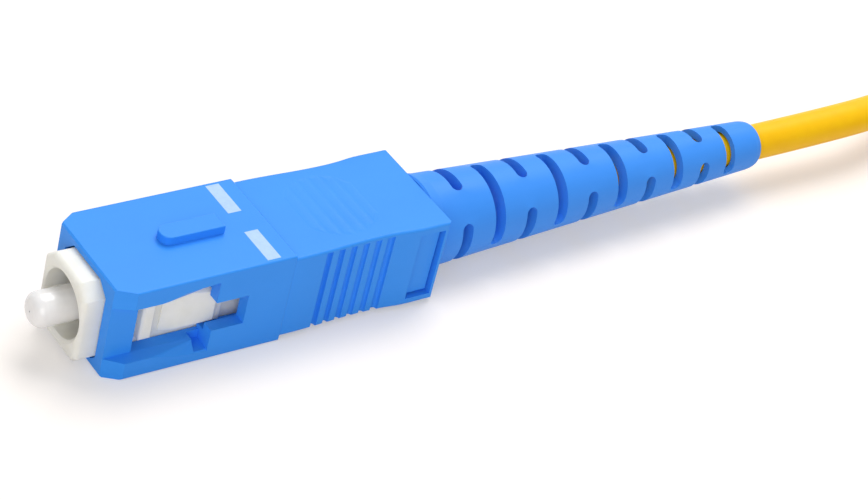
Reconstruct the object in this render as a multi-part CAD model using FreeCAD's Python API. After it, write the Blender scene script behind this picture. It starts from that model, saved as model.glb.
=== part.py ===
# SC fibre connector with a 3 mm class cable, put away in a tied hank.
# Millimetres. X runs from the ferrule tip back along the cable, +Z is the key side.
# The origin is the centre of the ferrule's end face.

import FreeCAD, Part
import math
import os

Vector = FreeCAD.Vector

# Overlap of joined shapes, reach of cuts past faces, and the tolerance for picking edges
join_overlap = 0.1
cut_reach = 1.0
edge_tolerance = 0.01

# Ferrule, fibre and the cable's layers
ferrule_diameter = 2.5
ferrule_length = 10.5
ferrule_tip_radius = 0.75
ferrule_seat_diameter = 2.42
fibre_diameter = 0.125
fibre_length = 11.0
coating_diameter = 0.25
coating_length = 3.6
coating_clearance = 0.15
buffer_diameter = 0.9
buffer_front_x = 13.7
buffer_bore_diameter = 0.34
buffer_bore_length = 2.2
buffer_clearance = 0.05
jacket_bore_diameter = 1.8
cable_diameter = 2.8
jacket_front_gap = 0.7
cable_join_depth = 1.85

# Ferrule flange with its guide tube, and the spring
flange_diameter = 4.3
flange_front_x = 8.6
flange_thickness = 2.2
flange_slot_width = 0.8
flange_slot_depth = 0.45
flange_edge_chamfer = 0.2
guide_cone_length = 2.0
guide_tube_diameter = 2.0
guide_tube_reach = 1.0
spring_wire_diameter = 0.36
spring_mean_diameter = 2.9
spring_coils = 5
spring_points_per_coil = 16
spring_wire_sides = 8

# Plug frame
frame_front_x = 2.2
frame_length = 17.8
frame_width = 5.44
frame_height = 6.2
frame_corner_width = 1.0
frame_corner_height = 0.9
frame_base_corner = 0.45
frame_nose_radius = 0.4
frame_mouth_diameter = 4.84
frame_mouth_chamfer = 0.2
frame_ring_bore = 3.7
frame_ring_thickness = 1.0
frame_rear_bore = 4.6
frame_lug_wall = 1.0
frame_lug_window_length = 2.0
frame_lug_width = 1.6

# Latch faces on both sides of the plug frame
rib_front_x = 6.5
rib_length = 0.95
rib_edge_chamfer = 0.12
latch_half_height = 1.62
latch_peak = 3.42
latch_corner = 0.35
ramp_front_x = 8.3
ramp_toe_height = 0.12
ramp_rise_length = 1.3
ramp_rise_drop = 0.22
ramp_crown_length = 0.7
ramp_crown_drop = 0.02
ramp_peak_x = 12.1
ramp_back_length = 0.4
rear_face_height = 3.15
rear_face_drop = 0.08
rear_face_length = 0.35
stop_bump_front_x = 9.95
stop_bump_length = 1.8
stop_bump_width = 1.2
stop_bump_height = 0.28

# Sliding grip housing
housing_front_x = 3.75
housing_front_length = 13.65
housing_width = 9.0
housing_height = 7.4
housing_corner_length = 1.3
housing_corner_width = 0.83
housing_edge_radius = 0.16
housing_front_chamfer = 0.12
housing_step_chamfer = 0.2
housing_travel = 1.4
slide_clearance = 0.08
grip_length = 12.75
grip_side_drop = 0.12
grip_waist_drop = 0.22
grip_pad_drop = 0.05
grip_flare_start = 0.35
grip_flare_length = 2.0
grip_flare_rise = 0.03
grip_height = 6.8
grip_edge_radius = 0.2
grip_rear_chamfer = 0.2
grip_overlap = 1.0
frame_travel_gap = 0.2
rear_bore_diameter = 6.1

# Side channel and window of the housing
channel_depth = 0.83
channel_floor_height = 4.3
channel_ledge_height = 4.6
window_front_x = 5.85
window_length = 5.55
swell_start = 1.2
swell_length = 2.3
swell_height = 5.6
swell_steps = 4
recess_height = 5.9
undercut_length = 1.0
undercut_inset = 0.12
undercut_depth = 1.4
rear_slot_length = 2.5
rear_slot_height = 2.4
latch_pocket_clearance = 0.16
latch_pocket_height = 3.6
latch_pocket_end_x = 15.1

# Key, insertion marks, grooves, dish and pads of the housing
key_front_x = 9.0
key_length = 4.66
key_width = 1.5
key_height = 0.64
key_corner_radius = 0.68
key_edge_radius = 0.07
mark_front_x = 15.04
mark_length = 1.05
mark_inner_y = 1.06
mark_side_margin = 0.3
mark_thickness = 0.1
groove_count = 6
groove_first_x = 20.05
groove_pitch = 1.03
groove_width = 0.5
last_groove_width = 0.62
groove_depth = 0.38
groove_round = 0.2
groove_round_step = 30
groove_top_z = 3.18
dish_centre_x = 22.75
dish_diameter = 6.6
dish_depth = 0.12
dish_ripple_count = 6
dish_ripple_pitch = 0.95
dish_ripple_width = 0.8
dish_ripple_depth = 0.018
pad_front_x = 27.65
pad_length = 2.1
pad_top_z = 2.8
pad_bottom_z = -2.85
pad_depth = 0.34
pad_slot_width = 0.24
pad_slot_depth = 0.9

# Stop body and crimp sleeve
stop_insert_length = 4.0
stop_fit_gap = 0.03
stop_edge_chamfer = 0.2
stop_flange_diameter = 5.4
stop_flange_thickness = 1.2
stop_bore_diameter = 2.3
stop_neck_diameter = 3.4
stop_neck_length = 4.8
stop_knurl_pitch = 0.6
stop_knurl_depth = 0.12
stop_lug_gap = 0.04
stop_lug_inset = 0.05
stop_lug_ramp_length = 0.8
stop_lug_root = 0.4
crimp_front_gap = 0.8
crimp_wall = 0.4
crimp_edge_chamfer = 0.1
crimp_cone_length = 1.0
crimp_tail_length = 4.2

# Boot
boot_front_gap = 0.5
boot_collar_gap = 0.05
boot_edge_chamfer = 0.2
boot_neck_diameter = 5.8
boot_length = 32.15
boot_front_diameter = 6.92
boot_rear_diameter = 3.74
boot_collar_diameter = 7.16
boot_collar_length = 0.9
boot_collar_chamfer = 0.12
boot_end_length = 0.9
boot_end_drop = 0.26
boot_end_steps = 5
boot_bore_clearance = 0.14
boot_cone_length = 0.3
boot_slot_start = 2.85
boot_slot_steps = [3.0, 2.95, 2.95, 2.95, 2.9, 2.85, 2.8, 2.75, 2.7]
boot_slot_width = 0.93
boot_slot_sweep = 136.0
boot_slot_turns = [48.0, 138.0]
boot_slot_overcut = 0.1

# Free cable: points of its route, the hank, its two ties and the bare far end
floor_z = -3.7
tie_thickness = 0.4
tie_width = 6.0
tie_offset = 8.5
route_straight_x = 68.0
route_bend_x = 76.5
route_rise = 0.15
route_drift = 0.1
route_level_x = 85.0
hank_strand_y = 3.1
hank_front_x = 87.0
hank_length = 71.4
hank_rows = 2
hank_layers = 3
hank_inner_gap = 16.0
hank_edge_radius = 1.2
hank_entry_x = 92.0
tail_angle = 16.0
tail_start_x = 141.0
tail_first_run = 5.8
tail_second_run = 5.8
tail_inset = 3.9
tail_yarn_length = 1.6
tail_buffer_length = 4.5


def box(x0, x1, y0, y1, z0, z1):
    return Part.makeBox(x1 - x0, y1 - y0, z1 - z0, Vector(x0, y0, z0))


def rod(x0, x1, diameter):
    return Part.makeCylinder(diameter / 2, x1 - x0, Vector(x0, 0, 0), Vector(1, 0, 0))


def turned(profile, sweep=360.0):
    # profile is a list of (x, radius) points, turned about the X axis
    points = [Vector(x, 0, radius) for x, radius in profile]
    face = Part.Face(Part.makePolygon(points + [points[0]]))
    return face.revolve(Vector(0, 0, 0), Vector(1, 0, 0), sweep)


def prism_x(section, x0, x1):
    points = [Vector(x0, y, z) for y, z in section]
    face = Part.Face(Part.makePolygon(points + [points[0]]))
    return face.extrude(Vector(x1 - x0, 0, 0))


def prism_y(outline, y0, y1):
    points = [Vector(x, y0, z) for x, z in outline]
    face = Part.Face(Part.makePolygon(points + [points[0]]))
    return face.extrude(Vector(0, y1 - y0, 0))


def prism_z(plan, z0, z1):
    points = [Vector(x, y, z0) for x, y in plan]
    face = Part.Face(Part.makePolygon(points + [points[0]]))
    return face.extrude(Vector(0, 0, z1 - z0))


def both_sides(shape):
    return shape.fuse(shape.mirror(Vector(0, 0, 0), Vector(0, 1, 0)))


def solid_from(outlines):
    # Closed solid from the flat faces that bound it
    faces = [Part.Face(Part.makePolygon(outline + [outline[0]])) for outline in outlines]
    solid = Part.makeSolid(Part.makeShell(faces))
    if solid.Volume < 0:
        solid.reverse()
    return solid


def octagon(width, height, corner_width, corner_height, base_corner):
    y = width / 2
    z = height / 2
    return [
        (-y + base_corner, -z), (y - base_corner, -z),
        (y, -z + base_corner), (y, z - corner_height),
        (y - corner_width, z), (-y + corner_width, z),
        (-y, z - corner_height), (-y, -z + base_corner),
    ]


def edges_where(shape, test):
    return [edge for edge in shape.Edges if test(edge)]


def write(shape, node):
    shape = shape.removeSplitter()
    print(node, "solids", len(shape.Solids), "volume", round(shape.Volume, 3), shape.isValid())
    shape.exportStep("parts/" + node + ".step")


def route_wire(points):
    # Straight runs joined by tangent arcs, each as large as its two runs allow
    edges = []
    start = points[0]
    length = 0.0
    for before, corner, after in zip(points, points[1:], points[2:]):
        into = (corner - before).normalize()
        out = (after - corner).normalize()
        half_turn = into.getAngle(out) / 2
        setback = 0.45 * min((corner - before).Length, (after - corner).Length)
        radius = setback / math.tan(half_turn)
        arc_start = corner - into * setback
        arc_end = corner + out * setback
        bisector = (out - into).normalize()
        middle = corner + bisector * (radius / math.cos(half_turn) - radius)
        edges.append(Part.LineSegment(start, arc_start).toShape())
        edges.append(Part.Arc(arc_start, middle, arc_end).toShape())
        length += (arc_start - start).Length + radius * 2 * half_turn
        start = arc_end
        print("  bend radius", round(radius, 1))
    edges.append(Part.LineSegment(start, points[-1]).toShape())
    length += (points[-1] - start).Length
    return Part.Wire(edges), length


def route_tube(points, diameter):
    wire, length = route_wire(points)
    ring = Part.Wire(Part.makeCircle(diameter / 2, points[0], points[1] - points[0]))
    tube = wire.makePipeShell([ring], True, False)
    section = math.pi * diameter * diameter / 4
    print("  tube volume", round(tube.Volume, 3), "section by length", round(section * length, 3))
    return tube


def faceted_tube(points, diameter, sides):
    # Small wire along close points, with a ring of flat facets round each stretch
    rings = []
    for index, point in enumerate(points):
        before = points[max(index - 1, 0)]
        after = points[min(index + 1, len(points) - 1)]
        along = (after - before).normalize()
        across = along.cross(Vector(0, point.y, point.z)).normalize()
        outward = across.cross(along)
        ring = []
        for side in range(sides):
            angle = 2 * math.pi * side / sides
            offset = outward * math.cos(angle) + across * math.sin(angle)
            ring.append(point + offset * (diameter / 2))
        rings.append(ring)
    outlines = [rings[0], rings[-1]]
    for here, there in zip(rings, rings[1:]):
        for side in range(sides):
            beside = (side + 1) % sides
            outlines.append([here[side], here[beside], there[beside]])
            outlines.append([here[side], there[beside], there[side]])
    return solid_from(outlines)


os.makedirs("parts", exist_ok=True)

# Places along X that several pieces share
frame_rear_x = frame_front_x + frame_length
flange_rear_x = flange_front_x + flange_thickness
spring_shoulder_x = frame_rear_x - stop_insert_length
stop_flange_rear_x = frame_rear_x + stop_flange_thickness
stop_neck_end_x = stop_flange_rear_x + stop_neck_length
crimp_cone_end_x = stop_neck_end_x + crimp_cone_length
crimp_rear_x = crimp_cone_end_x + crimp_tail_length
front_rear_x = housing_front_x + housing_front_length
grip_rear_x = front_rear_x + grip_length
boot_collar_x = grip_rear_x + boot_collar_gap
boot_rear_x = boot_collar_x + boot_length
cable_join_x = boot_rear_x - cable_join_depth
jacket_front_x = stop_neck_end_x + jacket_front_gap

# Ferrule: ceramic rod with a rounded, polished tip, tapered where the flange holds it
ferrule_radius = ferrule_diameter / 2
ferrule_seat_radius = ferrule_seat_diameter / 2
ferrule_bore = fibre_diameter / 2
ferrule = turned([
    (0, ferrule_bore),
    (0, ferrule_radius),
    (flange_front_x, ferrule_radius),
    (ferrule_length, ferrule_seat_radius),
    (ferrule_length, ferrule_bore),
])
tip_edges = edges_where(
    ferrule, lambda edge: edge.BoundBox.XMax < edge_tolerance and edge.Length > ferrule_diameter
)
write(ferrule.makeFillet(ferrule_tip_radius, tip_edges), "ferrule")
write(rod(0, fibre_length, fibre_diameter), "glass_fibre")
coating_end_x = fibre_length + coating_length
write(rod(fibre_length, coating_end_x, coating_diameter), "fibre_coating")
buffer_bore = rod(buffer_front_x, buffer_front_x + buffer_bore_length, buffer_bore_diameter)
write(rod(buffer_front_x, cable_join_x, buffer_diameter).cut(buffer_bore), "tight_buffer")

# Metal flange with four index slots, a socket for the ferrule and the guide tube
guide_tube_rear_x = spring_shoulder_x + guide_tube_reach
flange_radius = flange_diameter / 2
socket_end_x = ferrule_length
guide_bore = buffer_diameter / 2 + buffer_clearance
flange = turned([
    (flange_front_x, ferrule_radius),
    (flange_front_x, flange_radius - flange_edge_chamfer),
    (flange_front_x + flange_edge_chamfer, flange_radius),
    (flange_rear_x, flange_radius),
    (flange_rear_x, guide_tube_diameter / 2),
    (guide_tube_rear_x, guide_tube_diameter / 2),
    (guide_tube_rear_x, guide_bore),
    (socket_end_x + guide_cone_length, guide_bore),
    (socket_end_x, coating_diameter / 2 + coating_clearance),
    (socket_end_x, ferrule_seat_radius),
])
slot_inner = flange_radius - flange_slot_depth
half_slot = flange_slot_width / 2
slot_y = box(flange_front_x, flange_rear_x, slot_inner, flange_radius, -half_slot, half_slot)
slot_z = box(flange_front_x, flange_rear_x, -half_slot, half_slot, slot_inner, flange_radius)
flange = flange.cut(both_sides(slot_y))
flange = flange.cut(slot_z).cut(slot_z.mirror(Vector(0, 0, 0), Vector(0, 0, 1)))
write(flange, "ferrule_flange")

# Spring between the flange and the stop body, its end coils touching both
spring_radius = spring_wire_diameter / 2
spring_start_x = flange_rear_x + spring_radius
spring_height = spring_shoulder_x - spring_radius - spring_start_x
spring_points = []
for index in range(spring_coils * spring_points_per_coil + 1):
    turn = 2 * math.pi * index / spring_points_per_coil
    spring_points.append(
        Vector(
            spring_start_x + spring_height * index / (spring_coils * spring_points_per_coil),
            spring_mean_diameter / 2 * math.sin(turn),
            spring_mean_diameter / 2 * math.cos(turn),
        )
    )
write(faceted_tube(spring_points, spring_wire_diameter, spring_wire_sides), "ferrule_spring")

# Plug frame: tube with deep corners on the key side and a rounded nose, an inner ring and side latch faces
frame_corners = (frame_corner_width, frame_corner_height, frame_base_corner)
frame = prism_x(octagon(frame_width, frame_height, *frame_corners), frame_front_x, frame_rear_x)
frame = frame.makeFillet(
    frame_nose_radius, edges_where(frame, lambda edge: edge.BoundBox.XMax < frame_front_x + edge_tolerance)
)

frame_side = frame_width / 2 - join_overlap
rib = box(
    rib_front_x, rib_front_x + rib_length,
    frame_side, latch_peak, -latch_half_height, latch_half_height,
)
rib = rib.makeChamfer(
    rib_edge_chamfer, edges_where(rib, lambda edge: edge.CenterOfMass.y > latch_peak - edge_tolerance)
)
frame = frame.fuse(both_sides(rib))
ramp_rear_x = ramp_peak_x + ramp_back_length
rear_face_end_x = ramp_rear_x + rear_face_length
ramp_plan = [
    (ramp_front_x, frame_side),
    (ramp_front_x, frame_width / 2 + ramp_toe_height),
    (ramp_front_x + ramp_rise_length, latch_peak - ramp_rise_drop),
    (ramp_peak_x - ramp_crown_length, latch_peak - ramp_crown_drop),
    (ramp_peak_x, latch_peak),
    (ramp_rear_x, rear_face_height),
    (rear_face_end_x, rear_face_height - rear_face_drop),
    (rear_face_end_x, frame_side),
]
ramp = prism_z(ramp_plan, -latch_half_height, latch_half_height)
ramp_section = [
    (frame_side, -latch_half_height),
    (latch_peak - latch_corner, -latch_half_height),
    (latch_peak, -latch_half_height + latch_corner),
    (latch_peak, latch_half_height - latch_corner),
    (latch_peak - latch_corner, latch_half_height),
    (frame_side, latch_half_height),
]
ramp = ramp.common(prism_x(ramp_section, ramp_front_x, rear_face_end_x))
frame = frame.fuse(both_sides(ramp))

bump_top = frame_height / 2 + stop_bump_height
stop_bump_rear_x = stop_bump_front_x + stop_bump_length
half_bump = stop_bump_width / 2
frame = frame.fuse(
    box(
        stop_bump_front_x, stop_bump_rear_x,
        -half_bump, half_bump, frame_height / 2 - join_overlap, bump_top,
    )
)

ring_front_x = flange_front_x - frame_ring_thickness
mouth_radius = frame_mouth_diameter / 2
frame = frame.cut(
    turned([
        (frame_front_x, 0),
        (frame_front_x, mouth_radius + frame_mouth_chamfer),
        (frame_front_x + frame_mouth_chamfer, mouth_radius),
        (ring_front_x, mouth_radius),
        (ring_front_x, frame_ring_bore / 2),
        (flange_front_x, frame_ring_bore / 2),
        (flange_front_x, frame_rear_bore / 2),
        (frame_rear_x, frame_rear_bore / 2),
        (frame_rear_x, 0),
    ])
)
lug_window_end_x = frame_rear_x - frame_lug_wall
frame_lug_window_x = lug_window_end_x - frame_lug_window_length
half_lug = frame_lug_width / 2
frame = frame.cut(
    box(frame_lug_window_x, lug_window_end_x, -frame_width, frame_width, -half_lug, half_lug)
)
write(frame, "plug_frame")

# Stop body: bored tube with two snap lugs, a flange behind the frame and a knurled neck
stop_radius = frame_rear_bore / 2 - stop_fit_gap
stop_neck_radius = stop_neck_diameter / 2
stop_bore = stop_bore_diameter / 2
stop = turned([
    (spring_shoulder_x, stop_bore),
    (spring_shoulder_x, stop_radius - stop_edge_chamfer),
    (spring_shoulder_x + stop_edge_chamfer, stop_radius),
    (frame_rear_x, stop_radius),
    (frame_rear_x, stop_flange_diameter / 2),
    (stop_flange_rear_x, stop_flange_diameter / 2),
    (stop_flange_rear_x, stop_neck_radius),
    (stop_neck_end_x, stop_neck_radius),
    (stop_neck_end_x, stop_bore),
])
lug_outer = frame_width / 2 - stop_lug_inset
lug_plan = [
    (frame_lug_window_x + stop_lug_gap, stop_radius - stop_lug_root),
    (frame_lug_window_x + stop_lug_gap, stop_radius + join_overlap),
    (frame_lug_window_x + stop_lug_ramp_length, lug_outer),
    (lug_window_end_x - stop_lug_gap, lug_outer),
    (lug_window_end_x - stop_lug_gap, stop_radius - stop_lug_root),
]
stop = stop.fuse(both_sides(prism_z(lug_plan, -half_lug + stop_lug_gap, half_lug - stop_lug_gap)))
knurl_x = stop_flange_rear_x + stop_knurl_pitch * 2
while knurl_x < stop_neck_end_x - stop_knurl_pitch:
    ring = rod(knurl_x, knurl_x + stop_knurl_pitch / 2, stop_neck_diameter)
    core = rod(knurl_x, knurl_x + stop_knurl_pitch / 2, stop_neck_diameter - 2 * stop_knurl_depth)
    stop = stop.cut(ring.cut(core))
    knurl_x += stop_knurl_pitch
write(stop, "stop_body")

# Crimp sleeve: over the neck, then drawn down onto the jacket
cable_radius = cable_diameter / 2
crimp_front_x = stop_flange_rear_x + crimp_front_gap
crimp_outer = stop_neck_radius + crimp_wall
crimp_tail_outer = cable_radius + crimp_wall
write(
    turned([
        (crimp_front_x, stop_neck_radius),
        (crimp_front_x, crimp_outer - crimp_edge_chamfer),
        (crimp_front_x + crimp_edge_chamfer, crimp_outer),
        (stop_neck_end_x, crimp_outer),
        (crimp_cone_end_x, crimp_tail_outer),
        (crimp_rear_x, crimp_tail_outer),
        (crimp_rear_x, cable_radius),
        (jacket_front_x, cable_radius),
        (stop_neck_end_x, stop_neck_radius),
    ]),
    "crimp_sleeve",
)

# Cable inside the connector: jacket and yarn round the buffer
jacket_ring = rod(jacket_front_x, cable_join_x, cable_diameter)
write(jacket_ring.cut(rod(jacket_front_x, cable_join_x, jacket_bore_diameter)), "cable_jacket")
yarn_ring = rod(jacket_front_x, cable_join_x, jacket_bore_diameter)
write(yarn_ring.cut(rod(jacket_front_x, cable_join_x, buffer_diameter)), "aramid_yarn")

# Boot: tapered, with alternating pairs of cross slots that let it bend
boot_front_x = stop_neck_end_x + boot_front_gap
boot_bore = cable_radius + boot_bore_clearance
boot_neck_radius = boot_neck_diameter / 2
boot_front_radius = boot_front_diameter / 2
boot_rear_radius = boot_rear_diameter / 2
boot_collar_radius = boot_collar_diameter / 2
boot_slope = (boot_front_radius - boot_rear_radius) / boot_length
boot_profile = [
    (boot_front_x, crimp_outer),
    (boot_front_x, boot_neck_radius - boot_edge_chamfer),
    (boot_front_x + boot_edge_chamfer, boot_neck_radius),
    (boot_collar_x, boot_neck_radius),
    (boot_collar_x, boot_collar_radius - boot_collar_chamfer),
    (boot_collar_x + boot_collar_chamfer, boot_collar_radius),
    (boot_collar_x + boot_collar_length, boot_front_radius - boot_slope * boot_collar_length),
]
for step in range(boot_end_steps + 1):
    turn = math.pi / 2 * step / boot_end_steps
    boot_profile.append((
        boot_rear_x - boot_end_length * (1 - math.sin(turn)),
        boot_rear_radius + boot_slope * boot_end_length * (1 - math.sin(turn))
        - boot_end_drop * (1 - math.cos(turn)),
    ))
boot_profile += [
    (boot_rear_x, boot_bore),
    (crimp_rear_x + boot_cone_length, boot_bore),
    (crimp_rear_x, crimp_tail_outer),
    (crimp_rear_x, crimp_outer),
]
boot = turned(boot_profile)
slot_core = rod(boot_collar_x, boot_rear_x, 2 * (boot_bore - boot_slot_overcut))
slot_reach = boot_collar_radius + boot_slot_overcut
half_slot = boot_slot_width / 2
slot_x = boot_collar_x + boot_slot_start
for index, step in enumerate(boot_slot_steps + [0.0]):
    surface = boot_front_radius - boot_slope * (slot_x - boot_collar_x)
    end_angle = math.degrees(half_slot / surface)
    sweep = boot_slot_sweep - 2 * end_angle
    first_angle = boot_slot_turns[index % len(boot_slot_turns)]
    for side in (0.0, 180.0):
        slot = turned(
            [
                (slot_x - half_slot, boot_bore - boot_slot_overcut),
                (slot_x - half_slot, slot_reach),
                (slot_x + half_slot, slot_reach),
                (slot_x + half_slot, boot_bore - boot_slot_overcut),
            ],
            sweep,
        )
        end = Part.makeCylinder(half_slot, slot_reach, Vector(slot_x, 0, 0), Vector(0, 0, 1))
        end = end.cut(slot_core)
        far_end = end.copy()
        far_end.rotate(Vector(0, 0, 0), Vector(1, 0, 0), sweep)
        slot = slot.fuse([end, far_end])
        # the slot starts at +Z and turns about X; its middle goes to the angle wanted
        slot.rotate(Vector(0, 0, 0), Vector(1, 0, 0), -first_angle - side - sweep / 2)
        boot = boot.cut(slot)
    slot_x += step
write(boot, "strain_boot")

# Grip housing: front block, slightly waisted rear grip and key
half_width = housing_width / 2
half_height = housing_height / 2
front = box(housing_front_x, front_rear_x, -half_width, half_width, -half_height, half_height)
front = front.makeFillet(
    housing_edge_radius,
    edges_where(front, lambda edge: edge.BoundBox.XLength > housing_front_length - edge_tolerance),
)
front_plan = [
    (housing_front_x, -half_width + housing_corner_width),
    (housing_front_x + housing_corner_length, -half_width),
    (front_rear_x - housing_step_chamfer, -half_width),
    (front_rear_x, -half_width + housing_step_chamfer),
    (front_rear_x, half_width - housing_step_chamfer),
    (front_rear_x - housing_step_chamfer, half_width),
    (housing_front_x + housing_corner_length, half_width),
    (housing_front_x, half_width - housing_corner_width),
]
front_profile = [
    (housing_front_x, -half_height + housing_front_chamfer),
    (housing_front_x + housing_front_chamfer, -half_height),
    (front_rear_x - housing_step_chamfer, -half_height),
    (front_rear_x, -half_height + housing_step_chamfer),
    (front_rear_x, half_height - housing_step_chamfer),
    (front_rear_x - housing_step_chamfer, half_height),
    (housing_front_x + housing_front_chamfer, half_height),
    (housing_front_x, half_height - housing_front_chamfer),
]
front = front.common(prism_z(front_plan, -housing_height, housing_height))
front = front.common(prism_y(front_profile, -housing_width, housing_width))

waist_x = groove_first_x + groove_pitch * (groove_count - 1) + last_groove_width
grip_front_x = front_rear_x - grip_overlap
half_grip = half_width - grip_side_drop
half_waist = half_width - grip_waist_drop
half_pad = half_width - grip_pad_drop


def grip_edge(sign):
    flare_x = waist_x + grip_flare_start
    middle = (half_grip + half_waist) / 2
    curve = Part.BSplineCurve()
    curve.interpolate([
        Vector(grip_front_x, sign * half_grip, 0),
        Vector((grip_front_x + waist_x) / 2, sign * middle, 0),
        Vector(waist_x, sign * half_waist, 0),
        Vector(flare_x, sign * (half_waist + grip_flare_rise), 0),
        Vector(flare_x + grip_flare_length / 2, sign * (half_pad - grip_flare_rise), 0),
        Vector(flare_x + grip_flare_length, sign * half_pad, 0),
        Vector(grip_rear_x, sign * half_pad, 0),
    ])
    return curve.toShape()


def grip_end(x, half):
    return Part.makeLine(Vector(x, half, 0), Vector(x, -half, 0))


grip_outline = Part.Wire(
    Part.__sortEdges__([
        grip_edge(1), grip_edge(-1), grip_end(grip_front_x, half_grip), grip_end(grip_rear_x, half_pad),
    ])
)
grip = Part.Face(grip_outline).extrude(Vector(0, 0, grip_height))
grip.translate(Vector(0, 0, -grip_height / 2))
grip = grip.makeFillet(
    grip_edge_radius, edges_where(grip, lambda edge: edge.BoundBox.XLength > grip_length)
)
grip_end_plan = [
    (grip_front_x, -half_pad - grip_rear_chamfer),
    (grip_rear_x - grip_rear_chamfer, -half_pad - grip_rear_chamfer),
    (grip_rear_x - grip_rear_chamfer, -half_pad),
    (grip_rear_x, -half_pad + grip_rear_chamfer),
    (grip_rear_x, half_pad - grip_rear_chamfer),
    (grip_rear_x - grip_rear_chamfer, half_pad),
    (grip_rear_x - grip_rear_chamfer, half_pad + grip_rear_chamfer),
    (grip_front_x, half_pad + grip_rear_chamfer),
]
grip = grip.common(prism_z(grip_end_plan, -grip_height, grip_height))

for index in range(groove_count):
    centre = groove_first_x + groove_pitch * index
    along = (centre - grip_front_x) / (waist_x - grip_front_x)
    surface = half_grip + (half_waist - half_grip) * along
    bottom = surface - groove_depth
    half_groove = (last_groove_width if index == groove_count - 1 else groove_width) / 2
    groove_sides = []
    for turn in range(0, 91, groove_round_step):
        reach = math.sin(math.radians(turn)) * groove_round
        drop = (1 - math.cos(math.radians(turn))) * groove_round
        groove_sides.append((half_groove - groove_round + reach, bottom + drop))
    groove_sides.append((half_groove, half_width))
    groove = prism_z(
        [(centre - x, y) for x, y in reversed(groove_sides)] + [(centre + x, y) for x, y in groove_sides],
        -grip_height, grip_height,
    )
    # its top end slopes out to the side face
    sloped_top = [
        (0, -grip_height), (half_width, -grip_height),
        (half_width, groove_top_z + half_width - surface), (0, groove_top_z - surface),
    ]
    groove = groove.common(prism_x(sloped_top, centre - groove_pitch, centre + groove_pitch))
    grip = grip.cut(both_sides(groove))

# Dished finger rest above and below: soft ripples that fade out towards its rim
dish_radius = (dish_diameter * dish_diameter / 4 + dish_depth * dish_depth) / (2 * dish_depth)
dish = Part.makeSphere(dish_radius, Vector(dish_centre_x, 0, grip_height / 2 - dish_depth + dish_radius))
ripple_half = dish_ripple_width / 2
ripple_radius = (ripple_half * ripple_half + dish_ripple_depth * dish_ripple_depth) / (2 * dish_ripple_depth)
ripple_z = grip_height / 2 - dish_ripple_depth + ripple_radius
for index in range(dish_ripple_count):
    ripple_x = dish_centre_x + dish_ripple_pitch * (index - (dish_ripple_count - 1) / 2)
    ripple = Part.makeCylinder(
        ripple_radius, housing_width, Vector(ripple_x, -half_width, ripple_z), Vector(0, 1, 0)
    )
    ripple = ripple.common(dish)
    grip = grip.cut(ripple).cut(ripple.mirror(Vector(0, 0, 0), Vector(0, 0, 1)))

pad_panel = box(
    pad_front_x, pad_front_x + pad_length,
    half_pad - pad_depth, housing_width, pad_bottom_z, pad_top_z,
)
pad_rear_x = pad_front_x + pad_length
slot_inner_y = half_pad - pad_slot_depth
pad_panel = pad_panel.fuse([
    box(pad_front_x, pad_rear_x, slot_inner_y, half_pad, pad_bottom_z, pad_bottom_z + pad_slot_width),
    box(pad_rear_x - pad_slot_width, pad_rear_x, slot_inner_y, half_pad, pad_bottom_z, pad_top_z),
])
grip = grip.cut(both_sides(pad_panel))

key_rear_x = key_front_x + key_length
key = box(
    key_front_x, key_rear_x, -key_width / 2, key_width / 2,
    half_height - join_overlap, half_height + key_height,
)
key = key.makeFillet(
    key_corner_radius,
    edges_where(
        key,
        lambda edge: edge.BoundBox.ZLength > key_height
        and edge.CenterOfMass.x < key_front_x + edge_tolerance,
    ),
)
key = key.makeFillet(
    key_edge_radius,
    edges_where(key, lambda edge: edge.BoundBox.ZMin > half_height + key_height - edge_tolerance),
)
housing = front.fuse(grip).fuse(key)

# Inside of the housing: frame bore, stop pocket under the key, rear bore
bore_width = frame_width + 2 * slide_clearance
bore_height = frame_height + 2 * slide_clearance
bore_end_x = frame_rear_x + housing_travel + frame_travel_gap
housing = housing.cut(
    prism_x(octagon(bore_width, bore_height, *frame_corners), housing_front_x - cut_reach, bore_end_x)
)
housing = housing.cut(rod(bore_end_x - join_overlap, grip_rear_x + cut_reach, rear_bore_diameter))
housing = housing.cut(
    box(
        stop_bump_front_x - slide_clearance, stop_bump_rear_x + housing_travel + slide_clearance,
        -half_bump - slide_clearance, half_bump + slide_clearance, 0, bump_top + slide_clearance,
    )
)

# Side openings: channel with its ledges, window, rear slot, pocket for the latch faces
floor_y = half_width - channel_depth
outer_y = half_width + cut_reach
inner_y = frame_side
window_rear_x = window_front_x + window_length
half_floor = channel_floor_height / 2
half_ledge = channel_ledge_height / 2
swell_front_x = window_front_x + swell_start
opening_front_x = housing_front_x - cut_reach
outer_edge = [(opening_front_x, half_ledge)]
for step in range(swell_steps + 1):
    swell = (1 - math.cos(math.pi * step / swell_steps)) / 2
    outer_edge.append((
        swell_front_x + swell_length * step / swell_steps,
        half_ledge + (swell_height / 2 - half_ledge) * swell,
    ))
outer_edge.append((window_rear_x, recess_height / 2))


def ledge(sign):
    # From the floor's edge out to the wider edge in the side face
    front = Vector(opening_front_x, floor_y, sign * half_floor)
    rear = Vector(window_rear_x, floor_y, sign * half_floor)
    outer = [Vector(x, half_width, sign * z) for x, z in outer_edge]
    facets = [[front, rear, outer[1], outer[0]]]
    for here, there in zip(outer[1:], outer[2:]):
        facets.append([rear, there, here])
    return facets


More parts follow.
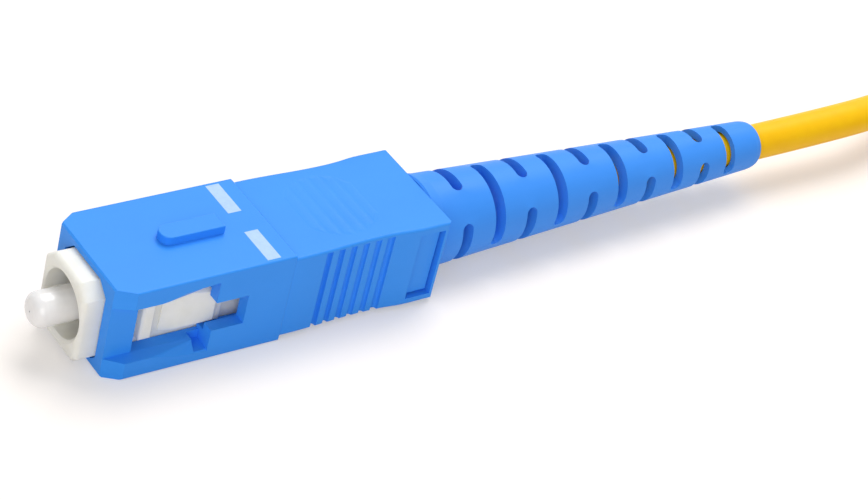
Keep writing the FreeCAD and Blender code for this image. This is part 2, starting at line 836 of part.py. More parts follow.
mouth = [(x, z) for x, z in outer_edge] + [(x, -z) for x, z in reversed(outer_edge)]
channel = solid_from(
    ledge(1) + ledge(-1) + [
        [
            Vector(opening_front_x, floor_y, half_floor), Vector(opening_front_x, floor_y, -half_floor),
            Vector(opening_front_x, half_width, -half_ledge),
            Vector(opening_front_x, half_width, half_ledge),
        ],
        [
            Vector(window_rear_x, floor_y, half_floor), Vector(window_rear_x, floor_y, -half_floor),
            Vector(window_rear_x, half_width, -recess_height / 2),
            Vector(window_rear_x, half_width, recess_height / 2),
        ],
        [
            Vector(opening_front_x, floor_y, half_floor), Vector(window_rear_x, floor_y, half_floor),
            Vector(window_rear_x, floor_y, -half_floor), Vector(opening_front_x, floor_y, -half_floor),
        ],
        [Vector(x, half_width, z) for x, z in mouth],
    ]
)
channel_mouth = prism_y(mouth, half_width, outer_y)
window = box(window_front_x, window_rear_x, inner_y, floor_y, -half_floor, half_floor)
rear_slot = box(
    window_rear_x - join_overlap, window_rear_x + rear_slot_length,
    inner_y, outer_y, -rear_slot_height / 2, rear_slot_height / 2,
)
undercut = box(
    window_rear_x - undercut_length, window_rear_x,
    half_width - undercut_depth, outer_y, half_floor - undercut_inset, recess_height / 2 - undercut_inset,
)
undercuts = undercut.fuse(undercut.mirror(Vector(0, 0, 0), Vector(0, 0, 1)))
pocket = box(
    window_front_x, latch_pocket_end_x,
    0, latch_peak + latch_pocket_clearance, -latch_pocket_height / 2, latch_pocket_height / 2,
)
openings = channel.fuse([channel_mouth, window, rear_slot, undercuts, pocket])
housing = housing.cut(both_sides(openings))

marks = box(
    mark_front_x, mark_front_x + mark_length,
    mark_inner_y, half_width - mark_side_margin,
    half_height - 2 * mark_thickness, half_height + cut_reach,
)
mark_zone = both_sides(marks)
mark_core = front.copy()
mark_core.translate(Vector(0, 0, -mark_thickness))
mark_zone = mark_zone.cut(mark_core)
write(housing.common(mark_zone), "insertion_marks")
write(housing.cut(mark_zone), "grip_housing")

# Free cable: rises a little from the boot, then settles beside the hank's lead-in
strand_z = floor_z + tie_thickness + cable_radius
route = [
    Vector(cable_join_x, 0, 0),
    Vector(route_straight_x, 0, 0),
    Vector(route_bend_x, route_drift, route_rise),
    Vector(route_level_x, hank_strand_y, strand_z),
    Vector(hank_entry_x, hank_strand_y, strand_z),
]
write(route_tube(route, cable_diameter), "cable_run")

# Hank: racetrack of stacked turns as one outer shape, with the lead-in and the tail's start
row_width = hank_rows * cable_diameter
hank_outer = hank_inner_gap / 2 + row_width
hank_height = hank_layers * cable_diameter
hank_bottom = floor_z + tie_thickness
hank_y = hank_strand_y - hank_outer + cable_radius
hank_near_x = hank_front_x + hank_outer
hank_far_x = hank_front_x + hank_length - hank_outer


def racetrack(radius):
    near = Part.makeCylinder(radius, hank_height, Vector(hank_near_x, hank_y, hank_bottom))
    far = Part.makeCylinder(radius, hank_height, Vector(hank_far_x, hank_y, hank_bottom))
    middle = box(
        hank_near_x, hank_far_x, hank_y - radius, hank_y + radius,
        hank_bottom, hank_bottom + hank_height,
    )
    return near.fuse([far, middle]).removeSplitter()


hank = racetrack(hank_outer).cut(racetrack(hank_inner_gap / 2))
hank = hank.makeFillet(
    hank_edge_radius,
    edges_where(
        hank,
        lambda edge: edge.BoundBox.ZLength < edge_tolerance,
    ),
)
lead_in = Part.makeCylinder(
    cable_radius, hank_near_x - hank_entry_x, Vector(hank_entry_x, hank_strand_y, strand_z), Vector(1, 0, 0)
)
inner_strand_y = hank_y - hank_inner_gap / 2 - cable_radius
tail_turn = math.radians(tail_angle)
tail_direction = Vector(-math.cos(tail_turn), math.sin(tail_turn), 0)
tail_corner_y = hank_y - tail_inset
tail_rise = tail_corner_y - inner_strand_y
tail_stub_length = tail_rise / math.sin(tail_turn) - tail_first_run
tail_root = Vector(tail_start_x, inner_strand_y, strand_z)
tail_stub = Part.makeCylinder(cable_radius, tail_stub_length, tail_root, tail_direction)
hank = hank.fuse([lead_in, tail_stub])
write(hank, "cable_hank")

# Two hook-and-loop ties, one round each long side
tie_x = (hank_near_x + hank_far_x) / 2 - tie_offset
ties = []
for side in (1, -1):
    inner_side_y = hank_y + side * (hank_inner_gap / 2)
    outer_side_y = hank_y + side * hank_outer
    low_y = min(inner_side_y, outer_side_y)
    high_y = max(inner_side_y, outer_side_y)
    tie_start = tie_x - tie_width / 2
    core = box(tie_start, tie_start + tie_width, low_y, high_y, hank_bottom, hank_bottom + hank_height)
    core = core.makeFillet(
        hank_edge_radius, edges_where(core, lambda edge: edge.BoundBox.XLength > tie_width - edge_tolerance)
    )
    band = box(
        tie_start, tie_start + tie_width, low_y - tie_thickness, high_y + tie_thickness,
        hank_bottom - tie_thickness, hank_bottom + hank_height + tie_thickness,
    )
    band = band.makeFillet(
        hank_edge_radius + tie_thickness,
        edges_where(band, lambda edge: edge.BoundBox.XLength > tie_width - edge_tolerance),
    )
    ties.append(band.cut(core))
write(Part.makeCompound(ties), "hank_ties")

# Far end: jacket cut square in the middle of the hank, yarn and buffer showing
tail_points = [
    tail_root + tail_direction * tail_stub_length,
    tail_root + tail_direction * (tail_stub_length + tail_first_run),
    tail_root + tail_direction * (tail_stub_length + tail_first_run) + Vector(-tail_second_run, 0, 0),
]
write(route_tube(tail_points, cable_diameter), "cable_tail")
tail_end = tail_points[-1]
write(
    Part.makeCylinder(jacket_bore_diameter / 2, tail_yarn_length, tail_end, Vector(-1, 0, 0)),
    "tail_yarn",
)
write(
    Part.makeCylinder(
        buffer_diameter / 2, tail_buffer_length,
        tail_end - Vector(tail_yarn_length, 0, 0), Vector(-1, 0, 0),
    ),
    "tail_buffer",
)
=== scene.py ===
import bpy
import bmesh
import math
import random
from mathutils import Matrix, Vector


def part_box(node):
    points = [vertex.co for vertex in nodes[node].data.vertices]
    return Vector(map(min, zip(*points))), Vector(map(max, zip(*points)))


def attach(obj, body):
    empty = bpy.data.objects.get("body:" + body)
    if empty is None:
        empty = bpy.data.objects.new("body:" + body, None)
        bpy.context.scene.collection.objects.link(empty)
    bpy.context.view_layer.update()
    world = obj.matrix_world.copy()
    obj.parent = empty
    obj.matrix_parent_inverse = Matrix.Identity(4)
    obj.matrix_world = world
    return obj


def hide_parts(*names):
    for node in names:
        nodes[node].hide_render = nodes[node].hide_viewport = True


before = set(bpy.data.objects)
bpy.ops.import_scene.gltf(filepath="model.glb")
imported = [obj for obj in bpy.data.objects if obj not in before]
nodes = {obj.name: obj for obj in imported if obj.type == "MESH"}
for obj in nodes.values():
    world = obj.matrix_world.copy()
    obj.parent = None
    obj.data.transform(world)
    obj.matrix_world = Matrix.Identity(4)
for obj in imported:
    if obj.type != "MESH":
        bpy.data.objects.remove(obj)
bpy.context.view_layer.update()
mm = 0.001

camera = {
    "target": (29.75, -3.76, 0.53),  # mm, on the connector
    "azimuth": -43.23,
    "elevation": 36.27,
    "roll": 15.47,
    "distance": 191.0,  # mm
    "lens": 113.12,
}


def addCamera(settings):
    azimuth = math.radians(settings["azimuth"])
    elevation = math.radians(settings["elevation"])
    roll = math.radians(settings["roll"])
    target = Vector(settings["target"]) * mm
    away = Vector((
        math.sin(azimuth) * math.cos(elevation),
        -math.cos(azimuth) * math.cos(elevation),
        math.sin(elevation),
    ))
    right = (-away).cross(Vector((0, 0, 1))).normalized()
    up = right.cross(-away)
    rolledRight = right * math.cos(roll) + up * math.sin(roll)
    rolledUp = up * math.cos(roll) - right * math.sin(roll)
    turn = Matrix((rolledRight, rolledUp, away)).transposed().to_4x4()
    data = bpy.data.cameras.new("studioCamera")
    data.sensor_width = 36
    data.lens = settings["lens"]
    data.clip_start = 0.005
    data.clip_end = 5
    data.dof.use_dof = False
    holder = bpy.data.objects.new("studioCamera", data)
    bpy.context.scene.collection.objects.link(holder)
    holder.matrix_world = Matrix.Translation(target + away * settings["distance"] * mm) @ turn
    bpy.context.scene.camera = holder


addCamera(camera)
print("camera placed")


class Finish:
    # A material under construction, with its Object coordinates ready

    def __init__(self, name):
        self.material = bpy.data.materials.new(name)
        self.material.use_nodes = True
        self.tree = self.material.node_tree
        self.shader = self.tree.nodes["Principled BSDF"]
        self.coords = self.add("ShaderNodeTexCoord").outputs["Object"]

    def add(self, kind, **values):
        node = self.tree.nodes.new(kind)
        for key, value in values.items():
            setattr(node, key, value)
        return node

    def join(self, source, target):
        self.tree.links.new(source, target)

    def stretched(self, scale):
        mapping = self.add("ShaderNodeMapping")
        mapping.inputs["Scale"].default_value = scale
        self.join(self.coords, mapping.inputs["Vector"])
        return mapping.outputs["Vector"]

    def noise(self, size, detail=3.0, stretch=(1, 1, 1), rough=0.5):
        # size is the width of the pattern in mm
        node = self.add("ShaderNodeTexNoise")
        node.inputs["Scale"].default_value = 1 / (size * mm)
        node.inputs["Detail"].default_value = detail
        node.inputs["Roughness"].default_value = rough
        self.join(self.stretched(stretch), node.inputs["Vector"])
        return node.outputs["Fac"]

    def range(self, source, low, high, fromLow=0.3, fromHigh=0.7):
        node = self.add("ShaderNodeMapRange")
        node.inputs["From Min"].default_value = fromLow
        node.inputs["From Max"].default_value = fromHigh
        node.inputs["To Min"].default_value = low
        node.inputs["To Max"].default_value = high
        self.join(source, node.inputs["Value"])
        return node.outputs["Result"]

    def blend(self, amount, first, second):
        node = self.add("ShaderNodeMix", data_type="RGBA")
        node.inputs[6].default_value = (*first, 1)
        node.inputs[7].default_value = (*second, 1)
        self.join(amount, node.inputs[0])
        return node.outputs[2]

    def bump(self, height, depth, strength=1.0, under=None):
        # depth is in mm
        node = self.add("ShaderNodeBump")
        node.inputs["Distance"].default_value = depth * mm
        node.inputs["Strength"].default_value = strength
        self.join(height, node.inputs["Height"])
        if under is not None:
            self.join(under, node.inputs["Normal"])
        return node.outputs["Normal"]

    def colour(self, source):
        self.join(source, self.shader.inputs["Base Color"])

    def roughness(self, source):
        self.join(source, self.shader.inputs["Roughness"])

    def normal(self, source):
        self.join(source, self.shader.inputs["Normal"])

    def set(self, **values):
        for key, value in values.items():
            self.shader.inputs[key].default_value = value
        return self


def dress(name, material):
    piece = nodes[name]
    piece.data.materials.clear()
    piece.data.materials.append(material)


def linear(red, green, blue):
    # screen colour, 0 to 255, to the shader's own scale
    def one(value):
        value /= 255
        return value / 12.92 if value <= 0.04045 else ((value + 0.055) / 1.055) ** 2.4
    return (one(red), one(green), one(blue))


mouldedGrip = {
    "colour": linear(60, 152, 251),
    "shade": linear(54, 148, 247),
    "spark": 0.16,  # mm, grain of the mould's spark finish
    "sparkDepth": 0.004,
    "flow": 3.0,  # mm, width of the melt's flow clouds
    "sinkDepth": 0.01,
    "gloss": (0.34, 0.46),
}


def mouldedGripPlastic(settings):
    finish = Finish("mouldedGripPlastic")
    flow = finish.noise(settings["flow"], 4, (0.5, 1, 1))
    grain = finish.noise(settings["spark"], 2)
    finish.colour(finish.blend(finish.range(flow, 0, 1), settings["shade"], settings["colour"]))
    finish.roughness(finish.range(flow, *settings["gloss"]))
    sinks = finish.bump(flow, settings["sinkDepth"], 0.5)
    finish.normal(finish.bump(grain, settings["sparkDepth"], 0.7, sinks))
    finish.set(**{"IOR": 1.46, "Specular IOR Level": 0.22})
    return finish.material


bootRubber = {
    "colour": linear(66, 151, 252),
    "shade": linear(60, 147, 248),
    "flow": 2.2,
    "flowDepth": 0.012,
    "grain": 0.12,
    "grainDepth": 0.004,
    "gloss": (0.42, 0.56),
}


def bootRubberSkin(settings):
    finish = Finish("bootRubberSkin")
    flow = finish.noise(settings["flow"], 4, (0.35, 1, 1))
    grain = finish.noise(settings["grain"], 2)
    finish.colour(finish.blend(finish.range(flow, 0, 1), settings["shade"], settings["colour"]))
    finish.roughness(finish.range(flow, *settings["gloss"]))
    swell = finish.bump(flow, settings["flowDepth"], 0.4)
    finish.normal(finish.bump(grain, settings["grainDepth"], 0.6, swell))
    finish.set(**{"IOR": 1.45, "Specular IOR Level": 0.3})
    return finish.material


frameResin = {
    "colour": linear(247, 246, 238),
    "shade": linear(238, 237, 227),
    "flow": 1.6,
    "flowDepth": 0.008,
    "fine": 0.1,
    "fineDepth": 0.003,
    "gloss": (0.3, 0.45),
}


def frameResinSkin(settings):
    finish = Finish("frameResinSkin")
    flow = finish.noise(settings["flow"], 4)
    fine = finish.noise(settings["fine"], 2)
    finish.colour(finish.blend(finish.range(flow, 0, 1), settings["shade"], settings["colour"]))
    finish.roughness(finish.range(flow, *settings["gloss"]))
    swell = finish.bump(flow, settings["flowDepth"], 0.4)
    finish.normal(finish.bump(fine, settings["fineDepth"], 0.5, swell))
    finish.set(**{
        "IOR": 1.5, "Subsurface Weight": 0.5, "Subsurface Scale": 0.0012,
        "Subsurface Radius": (1.0, 0.95, 0.82),
    })
    return finish.material


ceramic = {
    "colour": linear(244, 243, 243),
    "shade": linear(238, 237, 237),
    "cloud": 0.7,
    "grind": 0.05,
    "grindDepth": 0.0006,
    "gloss": (0.1, 0.2),
}


def zirconiaCeramic(settings):
    finish = Finish("zirconiaCeramic")
    cloud = finish.noise(settings["cloud"], 3)
    grind = finish.noise(settings["grind"], 2, (8, 1, 1))  # centreless grinding runs round the rod
    finish.colour(finish.blend(finish.range(cloud, 0, 1), settings["shade"], settings["colour"]))
    finish.roughness(finish.range(grind, *settings["gloss"]))
    finish.normal(finish.bump(grind, settings["grindDepth"], 0.4))
    finish.set(**{
        "IOR": 1.7, "Subsurface Weight": 0.4, "Subsurface Scale": 0.0008,
        "Subsurface Radius": (1.0, 0.97, 0.9),
    })
    return finish.material


cableVinyl = {
    "colour": linear(255, 201, 0),
    "shade": linear(252, 194, 0),
    "cloud": 1.4,
    "cloudDepth": 0.02,
    "fine": 0.14,
    "fineDepth": 0.004,
    "gloss": (0.4, 0.5),
}


def cableVinylSkin(settings):
    finish = Finish("cableVinylSkin")
    cloud = finish.noise(settings["cloud"], 3)
    fine = finish.noise(settings["fine"], 3)
    finish.colour(finish.blend(finish.range(cloud, 0, 1), settings["shade"], settings["colour"]))
    finish.roughness(finish.range(fine, *settings["gloss"]))
    swell = finish.bump(cloud, settings["cloudDepth"], 0.4)
    finish.normal(finish.bump(fine, settings["fineDepth"], 0.4, swell))
    finish.set(**{"IOR": 1.46, "Specular IOR Level": 0.25})
    return finish.material


markInk = {
    "colour": linear(174, 206, 239),
    "shade": linear(167, 200, 235),
    "thin": 0.35,  # mm, width of the thinner patches
    "grain": 0.1,
    "grainDepth": 0.004,
    "gloss": (0.35, 0.55),
}


def padPrintedInk(settings):
    finish = Finish("padPrintedInk")
    thin = finish.noise(settings["thin"], 4)
    grain = finish.noise(settings["grain"], 2)
    finish.colour(finish.blend(finish.range(thin, 0, 1, 0.35, 0.6), settings["shade"], settings["colour"]))
    finish.roughness(finish.range(grain, *settings["gloss"]))
    finish.normal(finish.bump(grain, settings["grainDepth"], 0.6))
    return finish.material


nickelPlate = {"colour": linear(214, 212, 204), "rings": 0.08, "gloss": (0.2, 0.35)}
springWire = {"colour": linear(190, 190, 192), "rings": 0.05, "gloss": (0.15, 0.3)}
crimpAluminium = {"colour": linear(205, 206, 210), "rings": 0.1, "gloss": (0.3, 0.45)}


def turnedMetal(name, settings):
    finish = Finish(name)
    lathe = finish.noise(settings["rings"], 3, (6, 1, 1))
    cloud = finish.noise(1.2, 3)
    tone = [part * 0.86 for part in settings["colour"]]
    finish.colour(finish.blend(finish.range(cloud, 0, 1), tone, settings["colour"]))
    finish.roughness(finish.range(lathe, *settings["gloss"]))
    finish.normal(finish.bump(lathe, 0.002, 0.5))
    finish.set(Metallic=1.0)
    return finish.material


fibreGlass = {
    "colour": linear(232, 242, 244),
    "shade": linear(206, 222, 226),
    "fine": 0.05,
    "gloss": (0.05, 0.12),
}


def drawnGlass(settings):
    finish = Finish("drawnGlass")
    fine = finish.noise(settings["fine"], 2)
    finish.colour(finish.blend(finish.range(fine, 0, 1), settings["shade"], settings["colour"]))
    finish.roughness(finish.range(fine, *settings["gloss"]))
    finish.set(**{"IOR": 1.46, "Transmission Weight": 0.6})
    return finish.material


fibreBuffer = {
    "colour": linear(242, 242, 236),
    "shade": linear(228, 228, 220),
    "cloud": 0.8,
    "fine": 0.08,
    "fineDepth": 0.003,
    "gloss": (0.35, 0.5),
}


def bufferNylon(settings):
    finish = Finish("bufferNylon")
    cloud = finish.noise(settings["cloud"], 3)
    fine = finish.noise(settings["fine"], 2)
    finish.colour(finish.blend(finish.range(cloud, 0, 1), settings["shade"], settings["colour"]))
    finish.roughness(finish.range(fine, *settings["gloss"]))
    finish.normal(finish.bump(fine, settings["fineDepth"], 0.5))
    finish.set(**{"Subsurface Weight": 0.15, "Subsurface Scale": 0.0004})
    return finish.material


yarn = {
    "colour": linear(240, 214, 120),
    "shade": linear(206, 172, 74),
    "strand": 0.08,
    "strandDepth": 0.02,
    "gloss": (0.35, 0.6),
}


def aramidFilament(settings):
    finish = Finish("aramidFilament")
    strand = finish.noise(settings["strand"], 4, (0.12, 1, 1))
    finish.colour(finish.blend(finish.range(strand, 0, 1), settings["shade"], settings["colour"]))
    finish.roughness(finish.range(strand, *settings["gloss"]))
    finish.normal(finish.bump(strand, settings["strandDepth"], 0.8))
    finish.set(**{"Sheen Weight": 0.3})
    return finish.material


tieFabric = {
    "colour": linear(34, 35, 38),
    # shade is painted shade for the low ground between the loops
    "shade": linear(20, 21, 23),
    "loop": 0.22,
    "loopDepth": 0.08,
    "fuzz": 0.4,
    "fuzzDepth": 0.05,
    "gloss": (0.75, 0.95),
}


def hookLoopFabric(settings):
    finish = Finish("hookLoopFabric")
    cells = finish.add("ShaderNodeTexVoronoi", feature="F1")
    cells.inputs["Scale"].default_value = 1 / (settings["loop"] * mm)
    finish.join(finish.coords, cells.inputs["Vector"])
    # loop height, which also darkens the colour in the hollows between the loops: painted shade
    pileAndHollowShade = finish.range(cells.outputs["Distance"], 1, 0, 0.0, 0.8)
    fuzz = finish.noise(settings["fuzz"], 5)
    finish.colour(finish.blend(pileAndHollowShade, settings["shade"], settings["colour"]))
    finish.roughness(finish.range(fuzz, *settings["gloss"]))
    under = finish.bump(fuzz, settings["fuzzDepth"], 0.6)
    finish.normal(finish.bump(pileAndHollowShade, settings["loopDepth"], 0.9, under))
    finish.set(**{"Sheen Weight": 0.4, "Sheen Roughness": 0.5})
    return finish.material


gripPlastic = mouldedGripPlastic(mouldedGrip)
vinyl = cableVinylSkin(cableVinyl)
nylon = bufferNylon(fibreBuffer)
aramid = aramidFilament(yarn)
fabric = hookLoopFabric(tieFabric)
nickel = turnedMetal("nickelPlate", nickelPlate)
dress("grip_housing", gripPlastic)
dress("insertion_marks", padPrintedInk(markInk))
dress("strain_boot", bootRubberSkin(bootRubber))
dress("plug_frame", frameResinSkin(frameResin))
dress("ferrule", zirconiaCeramic(ceramic))
for name in ("ferrule_flange", "stop_body"):
    dress(name, nickel)
dress("ferrule_spring", turnedMetal("springWire", springWire))
dress("crimp_sleeve", turnedMetal("crimpAluminium", crimpAluminium))
dress("glass_fibre", drawnGlass(fibreGlass))
for name in ("fibre_coating", "tight_buffer", "tail_buffer"):
    dress(name, nylon)
dress("cable_jacket", vinyl)
dress("aramid_yarn", aramid)
print("finishes on the moulded, ceramic and metal parts")


cable = {
    "diameter": 2.8,
    "route": [(60.5, 0, 0), (68.0, 0, 0), (76.5, 0.1, 0.15), (85.0, 3.1, -1.9), (92.0, 3.1, -1.9)],
    "hankNear": 100.6,  # X of the near fold's centre
    "hankFar": 144.8,
    "hankMiddle": -9.1,  # Y
    "layers": 3,
    "layerStep": 2.8,
    "outerRow": 12.2,
    "innerRow": 9.4,
    "foldPoints": 6,
    "sidePoints": 4,
    "climb": [0, 0, 0.08, 0.46, 0.9, 1],  # share of a layer gained, point by point, round the near fold
    "rowChange": [0.1, 0.45, 0.85, 1, 1, 1],  # from the outer row to the inner one
    "fall": [0.5, 0.87, 1, 1, 1, 1],
    "earlyFall": 0.15,  # share of the fall just before the fold
    "tail": [
        (141.6, -18.5, -1.9), (136.0, -17.4, -1.9), (129.0, -15.0, -1.9), (122.2, -13.0, -1.9),
        (116.0, -13.0, -1.9),
    ],
}


def hankPoints(settings):
    # Outer turns going up, layer by layer, then inner turns coming down
    near, far = settings["hankNear"], settings["hankFar"]
    middle, step = settings["hankMiddle"], settings["layerStep"]
    low = settings["route"][-1][2]
    count = settings["foldPoints"]
    sides = settings["sidePoints"]
    halfStep = math.pi / count / 2
    layers = settings["layers"]
    last = 2 * layers - 1
    points = []
    for turn in range(last + 1):
        outer = turn < layers
        row = settings["outerRow"] if outer else settings["innerRow"]
        height = low + step * (turn if outer else last - turn)
        lead = row * math.tan(halfStep)  # keeps the bend even where a side meets a fold
        gap = (far - near - 2 * lead) / (sides - 1)
        for index in range(sides):  # away from the connector, on the +Y side
            points.append((near + lead + gap * index, middle + row, height))
        for index in range(count):  # round the far fold
            angle = halfStep * (2 * index + 1)
            reach = row / math.cos(halfStep)
            points.append((far + reach * math.sin(angle), middle + reach * math.cos(angle), height))
        if turn == last:
            break
        nextRow = settings["outerRow"] if turn < layers - 1 else settings["innerRow"]
        rise = step if turn < layers - 1 else (0 if outer else -step)
        change = settings["climb"] if outer else settings["fall"]
        for index in range(sides):  # back towards the connector, on the -Y side
            early = 0 if outer or index < sides - 1 else rise * settings["earlyFall"]
            points.append((far - lead - gap * index, middle - row, height + early))
        for index in range(count):  # round the near fold, changing layer or row
            angle = halfStep * (2 * index + 1)
            reach = (row + (nextRow - row) * settings["rowChange"][index]) / math.cos(halfStep)
            points.append((
                near - reach * math.sin(angle), middle - reach * math.cos(angle),
                height + rise * change[index],
            ))
    return points


def addCable(settings):
    points = settings["route"] + hankPoints(settings) + settings["tail"]
    curve = bpy.data.curves.new("cable", "CURVE")
    curve.dimensions = "3D"
    curve.bevel_depth = settings["diameter"] / 2 * mm
    curve.bevel_resolution = 5
    curve.resolution_u = 6
    curve.use_fill_caps = True
    line = curve.splines.new("NURBS")
    line.points.add(len(points) - 1)
    for place, point in zip(line.points, points):
        place.co = (*[part * mm for part in point], 1)
    line.order_u = 3
    line.use_endpoint_u = True
    curve.materials.append(vinyl)
    piece = bpy.data.objects.new("cable", curve)
    bpy.context.scene.collection.objects.link(piece)
    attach(piece, "plug_and_cable")
    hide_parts("cable_run", "cable_hank", "cable_tail")
    return piece


cablePiece = addCable(cable)
print("cable laid")


ties = {
    "width": 6.0,
    "thickness": 0.34,
    "centre": 114.2,  # X
    "bottom": -3.3,
    "top": 5.1,
    "corner": 1.35,
    "cornerSteps": 4,
    "edge": 0.08,
    "rows": (8.0, 13.6),  # Y from the hank's middle
}


def tieBand(settings, name, lowY, highY):
    mesh = bpy.data.meshes.new(name)
    shape = bmesh.new()
    bottom, top, corner, steps = (settings[key] for key in ("bottom", "top", "corner", "cornerSteps"))
    radius = corner + settings["thickness"] / 2
    start = settings["centre"] - settings["width"] / 2
    ring = []
    corners = [
        (highY - corner, top - corner, 90), (lowY + corner, top - corner, 180),
        (lowY + corner, bottom + corner, 270), (highY - corner, bottom + corner, 360),
    ]
    for y, z, angle in corners:
        for index in range(steps + 1):
            turn = math.radians(angle - 90 + 90 * index / steps)
            ring.append((y + radius * math.cos(turn), z + radius * math.sin(turn)))
    around = [shape.verts.new((start * mm, y * mm, z * mm)) for y, z in ring]
    edges = [shape.edges.new((one, two)) for one, two in zip(around, around[1:] + around[:1])]
    grown = bmesh.ops.extrude_edge_only(shape, edges=edges)
    moved = [item for item in grown["geom"] if isinstance(item, bmesh.types.BMVert)]
    bmesh.ops.translate(shape, verts=moved, vec=(settings["width"] * mm, 0, 0))
    lengthwise = [edge for edge in shape.edges if abs(edge.verts[0].co.x - edge.verts[1].co.x) > mm]
    bmesh.ops.subdivide_edges(shape, edges=lengthwise, cuts=6, use_grid_fill=True)
    bmesh.ops.recalc_face_normals(shape, faces=shape.faces)
    shape.to_mesh(mesh)
    shape.free()
    for face in mesh.polygons:
        face.use_smooth = True
    mesh.materials.append(fabric)
    piece = bpy.data.objects.new(name, mesh)
    bpy.context.scene.collection.objects.link(piece)
    wall = piece.modifiers.new("strapWall", "SOLIDIFY")
    wall.thickness = settings["thickness"] * mm
    wall.offset = 0
    edge = piece.modifiers.new("strapEdge", "BEVEL")
    edge.width = settings["edge"] * mm
    edge.segments = 2
    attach(piece, "plug_and_cable")
    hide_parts("hank_ties")
    return piece


middleY = cable["hankMiddle"]
near, far = ties["rows"]
northTie = tieBand(ties, "northTie", middleY + near, middleY + far)
southTie = tieBand(ties, "southTie", middleY - far, middleY - near)
print("hank tied")


yarnTuft = {
    "filaments": 46,
    "length": 1.5,
    "lengthShare": (0.8, 1.06),
    "thickness": 0.05,
    "tipShare": 0.7,
    "radius": 0.72,
    "areaShare": (0.42, 1.0),  # keeps the tuft's middle free for the buffer
    "lean": (-0.02, 0.12),
    "spread": 0.5,
}


def addYarnTuft(settings):
    random.seed(7)
    low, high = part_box("tail_yarn")
    centre = (low + high) / 2
    mesh = bpy.data.meshes.new("yarnTuft")
    shape = bmesh.new()
    for index in range(settings["filaments"]):
        turn = random.uniform(0, 2 * math.pi)
        radius = settings["radius"] * math.sqrt(random.uniform(*settings["areaShare"]))
        length = settings["length"] * random.uniform(*settings["lengthShare"]) * mm
        lean = random.uniform(*settings["lean"]) * settings["spread"]
        made = bmesh.ops.create_cone(
            shape, cap_ends=True, segments=5, radius1=settings["thickness"] * mm,
            radius2=settings["thickness"] * settings["tipShare"] * mm, depth=length,
        )["verts"]
        bmesh.ops.rotate(shape, verts=made, cent=(0, 0, 0), matrix=Matrix.Rotation(-math.pi / 2, 3, "Y"))
        bmesh.ops.rotate(shape, verts=made, cent=(length / 2, 0, 0), matrix=Matrix.Rotation(lean, 3, "Z"))
        bmesh.ops.translate(shape, verts=made, vec=(high.x - length / 2, radius * mm, 0))
        bmesh.ops.rotate(shape, verts=made, cent=(0, 0, 0), matrix=Matrix.Rotation(turn, 3, "X"))
    bmesh.ops.translate(shape, verts=shape.verts, vec=(0, centre.y, centre.z))
    bmesh.ops.recalc_face_normals(shape, faces=shape.faces)
    shape.to_mesh(mesh)
    shape.free()
    mesh.materials.append(aramid)
    piece = bpy.data.objects.new("yarnTuft", mesh)
    bpy.context.scene.collection.objects.link(piece)
    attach(piece, "plug_and_cable")
    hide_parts("tail_yarn")
    return piece


tuft = addYarnTuft(yarnTuft)
print("far end dressed")


studio = {
    "floorZ": -3.7,
    "floorReach": 1.5,  # m
    "floorTone": (0.73, 0.68, 0.64),  # warm, against the blue thrown down by the housing
    "floorGlow": 0.34,
    "world": 0.39,
    "keyPower": 1.68,
    "keySize": 0.31,
    "keyPlace": (0.19, 0.14, 0.41),
    "fillPower": 0.38,
    "fillSize": 0.24,
    "fillPlace": (-0.17, -0.22, 0.1),
    "aim": (0.03, 0, 0),
}


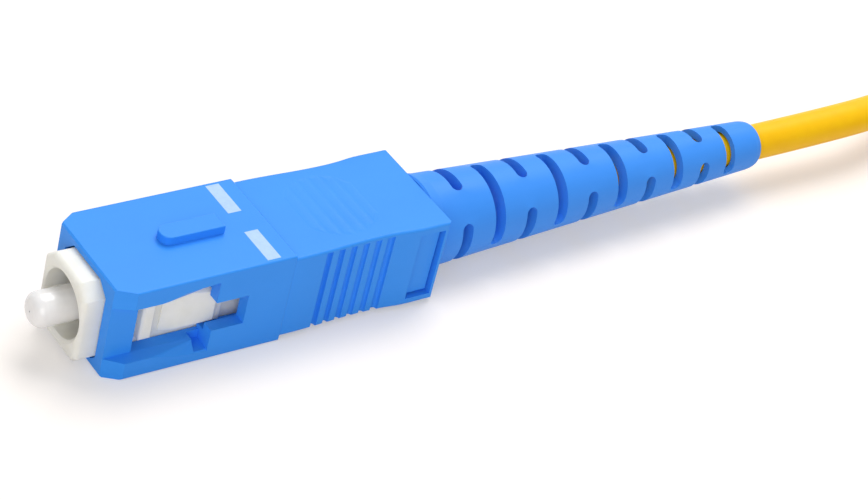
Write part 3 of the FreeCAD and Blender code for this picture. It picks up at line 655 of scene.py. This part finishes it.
def addFloor(settings):
    mesh = bpy.data.meshes.new("studioFloor")
    shape = bmesh.new()
    bmesh.ops.create_grid(shape, x_segments=1, y_segments=1, size=settings["floorReach"])
    bmesh.ops.translate(shape, verts=shape.verts, vec=(0, 0, settings["floorZ"] * mm))
    shape.to_mesh(mesh)
    shape.free()
    floor = bpy.data.objects.new("studioFloor", mesh)
    bpy.context.scene.collection.objects.link(floor)
    finish = Finish("studioPaper")
    finish.tree.nodes.remove(finish.shader)
    paper = finish.add("ShaderNodeBsdfDiffuse")
    paper.inputs["Color"].default_value = (*settings["floorTone"], 1)
    glow = finish.add("ShaderNodeEmission")
    rays = finish.add("ShaderNodeLightPath")
    seen = finish.add("ShaderNodeMath", operation="MAXIMUM")
    finish.join(rays.outputs["Is Camera Ray"], seen.inputs[0])
    finish.join(rays.outputs["Is Glossy Ray"], seen.inputs[1])
    strength = finish.add("ShaderNodeMath", operation="MULTIPLY")
    finish.join(seen.outputs[0], strength.inputs[0])
    strength.inputs[1].default_value = settings["floorGlow"]
    finish.join(strength.outputs[0], glow.inputs["Strength"])
    both = finish.add("ShaderNodeAddShader")
    finish.join(paper.outputs[0], both.inputs[0])
    finish.join(glow.outputs[0], both.inputs[1])
    finish.join(both.outputs[0], finish.tree.nodes["Material Output"].inputs["Surface"])
    mesh.materials.append(finish.material)


def addWorld(settings):
    world = bpy.data.worlds.new("studioAir")
    bpy.context.scene.world = world
    world.use_nodes = True
    tree = world.node_tree
    air = tree.nodes["Background"]
    rays = tree.nodes.new("ShaderNodeLightPath")
    seen = rays.outputs["Is Camera Ray"]
    for kind in ("Is Glossy Ray", "Is Transmission Ray"):
        either = tree.nodes.new("ShaderNodeMath")
        either.operation = "MAXIMUM"
        tree.links.new(seen, either.inputs[0])
        tree.links.new(rays.outputs[kind], either.inputs[1])
        seen = either.outputs[0]
    level = tree.nodes.new("ShaderNodeMapRange")
    level.inputs["To Min"].default_value = settings["world"]
    level.inputs["To Max"].default_value = 1.0
    tree.links.new(seen, level.inputs["Value"])
    tree.links.new(level.outputs[0], air.inputs["Strength"])
    air.inputs["Color"].default_value = (1, 1, 1, 1)


def addLamp(name, power, size, place, aim):
    data = bpy.data.lights.new(name, "AREA")
    data.energy = power
    data.size = size
    lamp = bpy.data.objects.new(name, data)
    bpy.context.scene.collection.objects.link(lamp)
    lamp.location = place
    lamp.rotation_euler = (Vector(aim) - Vector(place)).to_track_quat("-Z", "Y").to_euler()


addFloor(studio)
addWorld(studio)
for lamp in ("key", "fill"):
    power, size, place = (studio[lamp + part] for part in ("Power", "Size", "Place"))
    addLamp(lamp + "Lamp", power, size, place, studio["aim"])
bpy.context.scene.view_settings.view_transform = "Standard"
print("floor and light set")
